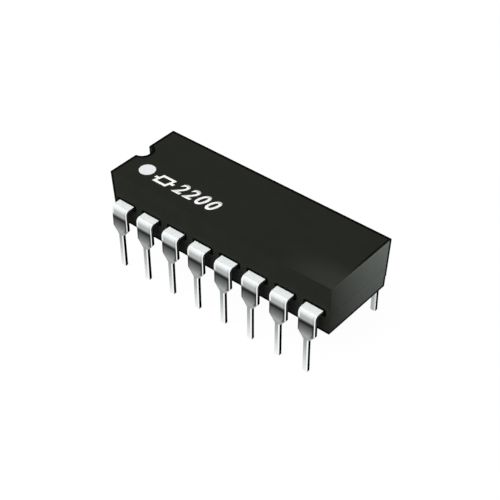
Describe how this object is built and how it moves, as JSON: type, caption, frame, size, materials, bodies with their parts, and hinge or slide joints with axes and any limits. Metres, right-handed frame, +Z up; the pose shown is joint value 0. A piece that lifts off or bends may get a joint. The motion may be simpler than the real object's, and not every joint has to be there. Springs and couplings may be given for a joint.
{
  "type": "thick film resistor network",
  "caption": "Moulded dual in-line thick film resistor network: a black epoxy block with an index notch and rows of bent, tinned leads that step down to thin pins.",
  "frame": {"origin": "on the plane of the lead tips, below the middle of the body", "axes": "+X along the body's length, away from the index notch; +Y across to the row of leads 9 to 16; +Z up, from the lead tips to the marked face"},
  "size_m": [0.0206, 0.0084, 0.008],
  "materials": {
    "black_epoxy": "moulded epoxy, satin black",
    "tinned_lead": "tin plate on copper alloy, bright satin",
    "alumina": "fired alumina, matt white",
    "silver_conductor": "fired silver palladium print",
    "resistive_film": "fired resistive print, near black",
    "green_glaze": "fired glass print, green",
    "solder": "solder, satin"
  },
  "bodies": {
    "root": {"moulded_body": "black_epoxy", "ceramic_substrate": "alumina", "glass_overglaze": "green_glaze", "lead_01": "tinned_lead", "lead_02": "tinned_lead", "lead_03": "tinned_lead", "lead_04": "tinned_lead", "lead_05": "tinned_lead", "lead_06": "tinned_lead", "lead_07": "tinned_lead", "lead_08": "tinned_lead", "lead_09": "tinned_lead", "lead_10": "tinned_lead", "lead_11": "tinned_lead", "lead_12": "tinned_lead", "lead_13": "tinned_lead", "lead_14": "tinned_lead", "lead_15": "tinned_lead", "lead_16": "tinned_lead", "termination_pad_01": "silver_conductor", "termination_pad_02": "silver_conductor", "termination_pad_03": "silver_conductor", "termination_pad_04": "silver_conductor", "termination_pad_05": "silver_conductor", "termination_pad_06": "silver_conductor", "termination_pad_07": "silver_conductor", "termination_pad_08": "silver_conductor", "termination_pad_09": "silver_conductor", "termination_pad_10": "silver_conductor", "termination_pad_11": "silver_conductor", "termination_pad_12": "silver_conductor", "termination_pad_13": "silver_conductor", "termination_pad_14": "silver_conductor", "termination_pad_15": "silver_conductor", "termination_pad_16": "silver_conductor", "resistor_film_1": "resistive_film", "resistor_film_2": "resistive_film", "resistor_film_3": "resistive_film", "resistor_film_4": "resistive_film", "resistor_film_5": "resistive_film", "resistor_film_6": "resistive_film", "resistor_film_7": "resistive_film", "resistor_film_8": "resistive_film", "solder_joint_01": "solder", "solder_joint_02": "solder", "solder_joint_03": "solder", "solder_joint_04": "solder", "solder_joint_05": "solder", "solder_joint_06": "solder", "solder_joint_07": "solder", "solder_joint_08": "solder", "solder_joint_09": "solder", "solder_joint_10": "solder", "solder_joint_11": "solder", "solder_joint_12": "solder", "solder_joint_13": "solder", "solder_joint_14": "solder", "solder_joint_15": "solder", "solder_joint_16": "solder"}
  },
  "joints": []
}
